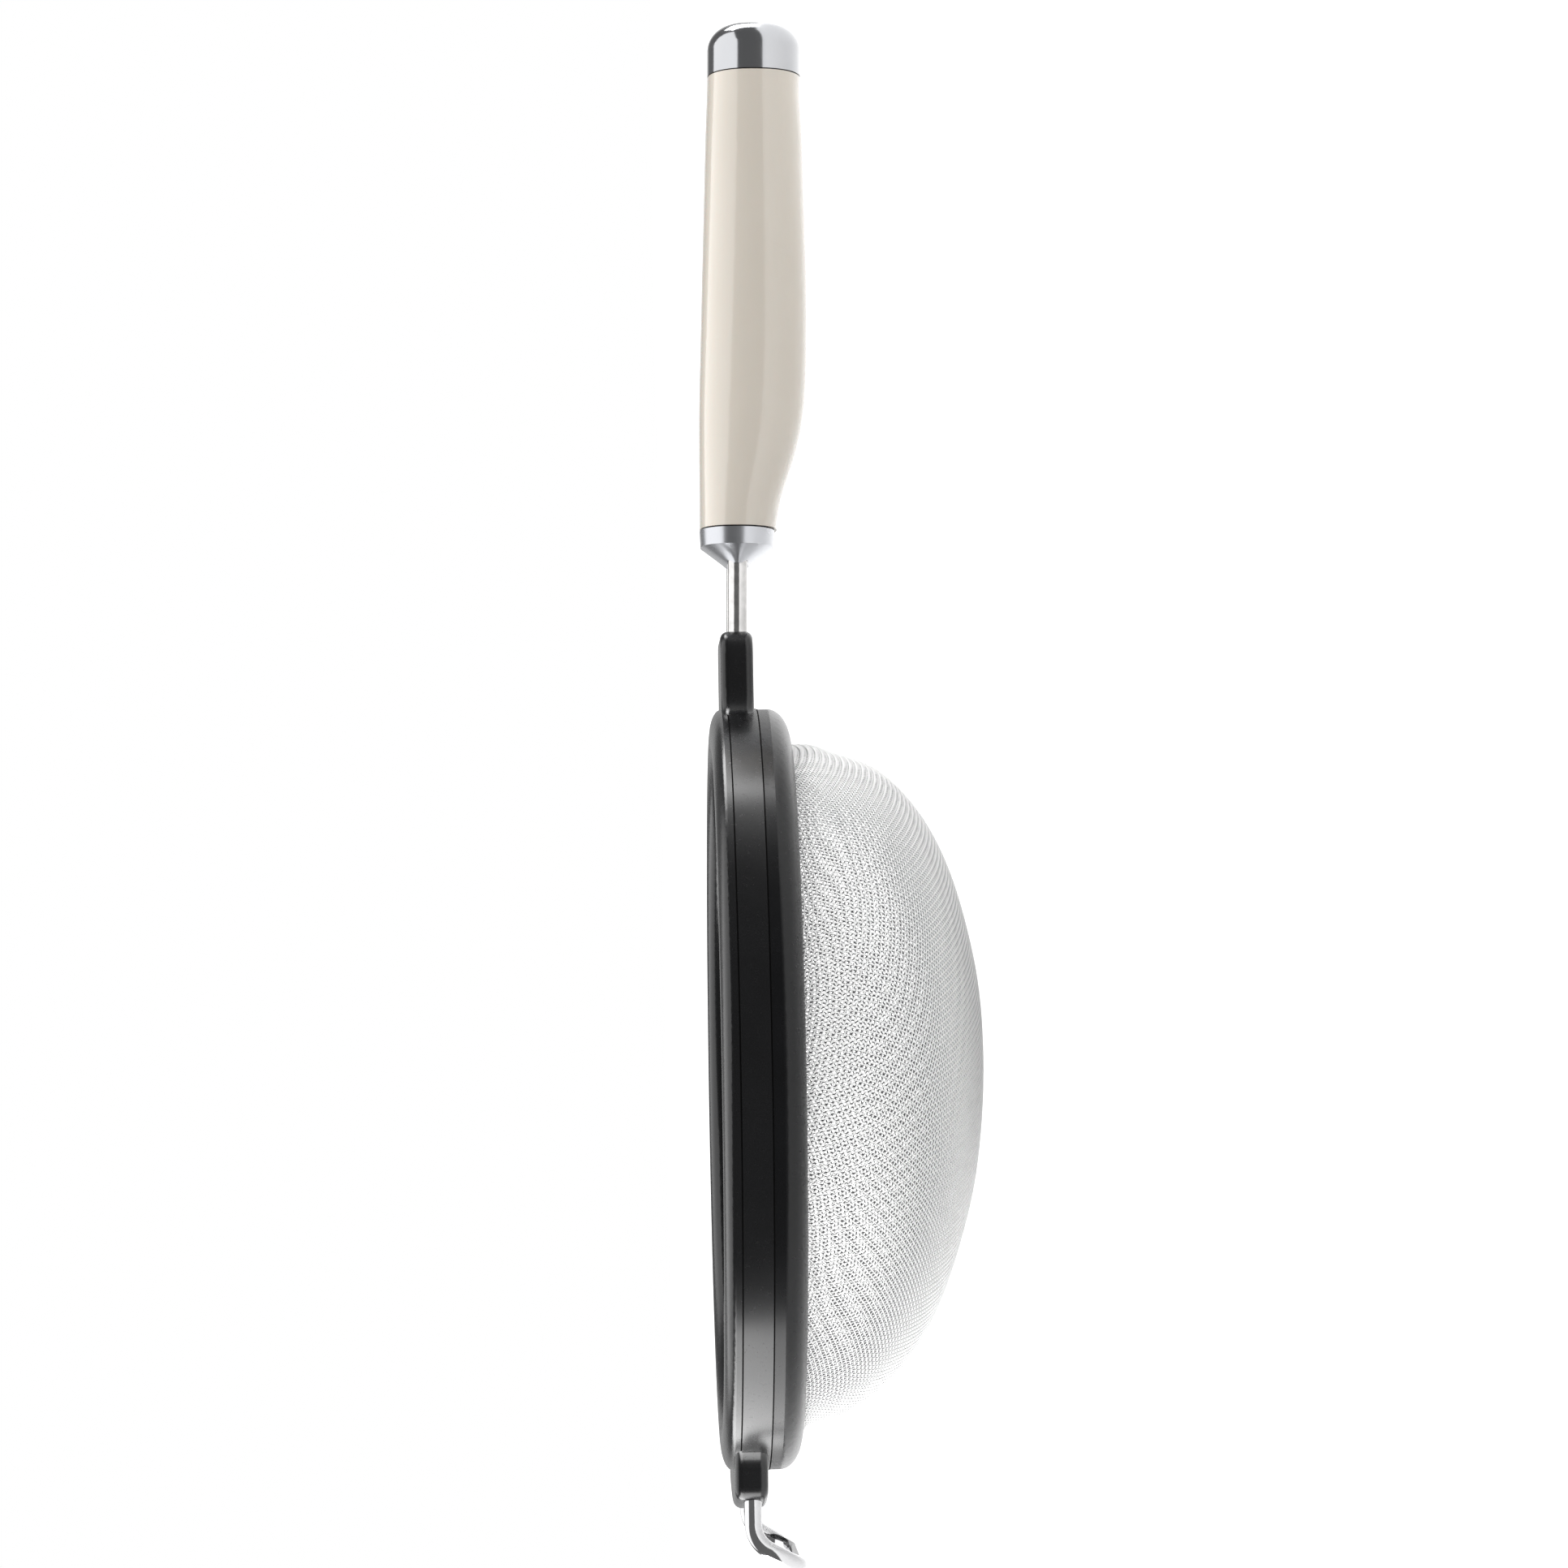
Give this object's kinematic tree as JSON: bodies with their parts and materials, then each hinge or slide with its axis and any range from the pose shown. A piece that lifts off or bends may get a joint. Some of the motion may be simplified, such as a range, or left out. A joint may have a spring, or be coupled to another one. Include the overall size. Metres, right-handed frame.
{
  "type": "fine mesh strainer",
  "caption": "Fine-mesh bowl strainer with a clamped rim, a long moulded handle on steel rods and a wire rest hook opposite it.",
  "frame": {"origin": "centre of the round opening, on the plane of the lip's crest", "axes": "+X along the handle, +Z out of the opening away from the bowl, +Y across the handle"},
  "size_m": [0.3996, 0.1966, 0.071],
  "materials": {
    "bright_metal": "mirror polished",
    "hook_metal": "polished",
    "grip": "glossy cream",
    "core": "plain",
    "rod_steel": "polished wire",
    "hidden_steel": "plain drawn wire and strip",
    "mesh_steel": "bright woven wire",
    "rim": "satin black"
  },
  "bodies": {
    "root": {"end_cap": "bright_metal", "grip_shell": "grip", "handle_core": "core", "ferrule": "bright_metal", "shank_rod_left": "rod_steel", "shank_rod_right": "rod_steel", "frame_hoop": "hidden_steel", "mesh_bowl": "mesh_steel", "mesh_hem_band": "hidden_steel", "rim_lip_ring": "rim", "rim_centre_ring": "rim", "rim_rear_ring": "rim", "rest_hook": "hook_metal"}
  },
  "joints": []
}
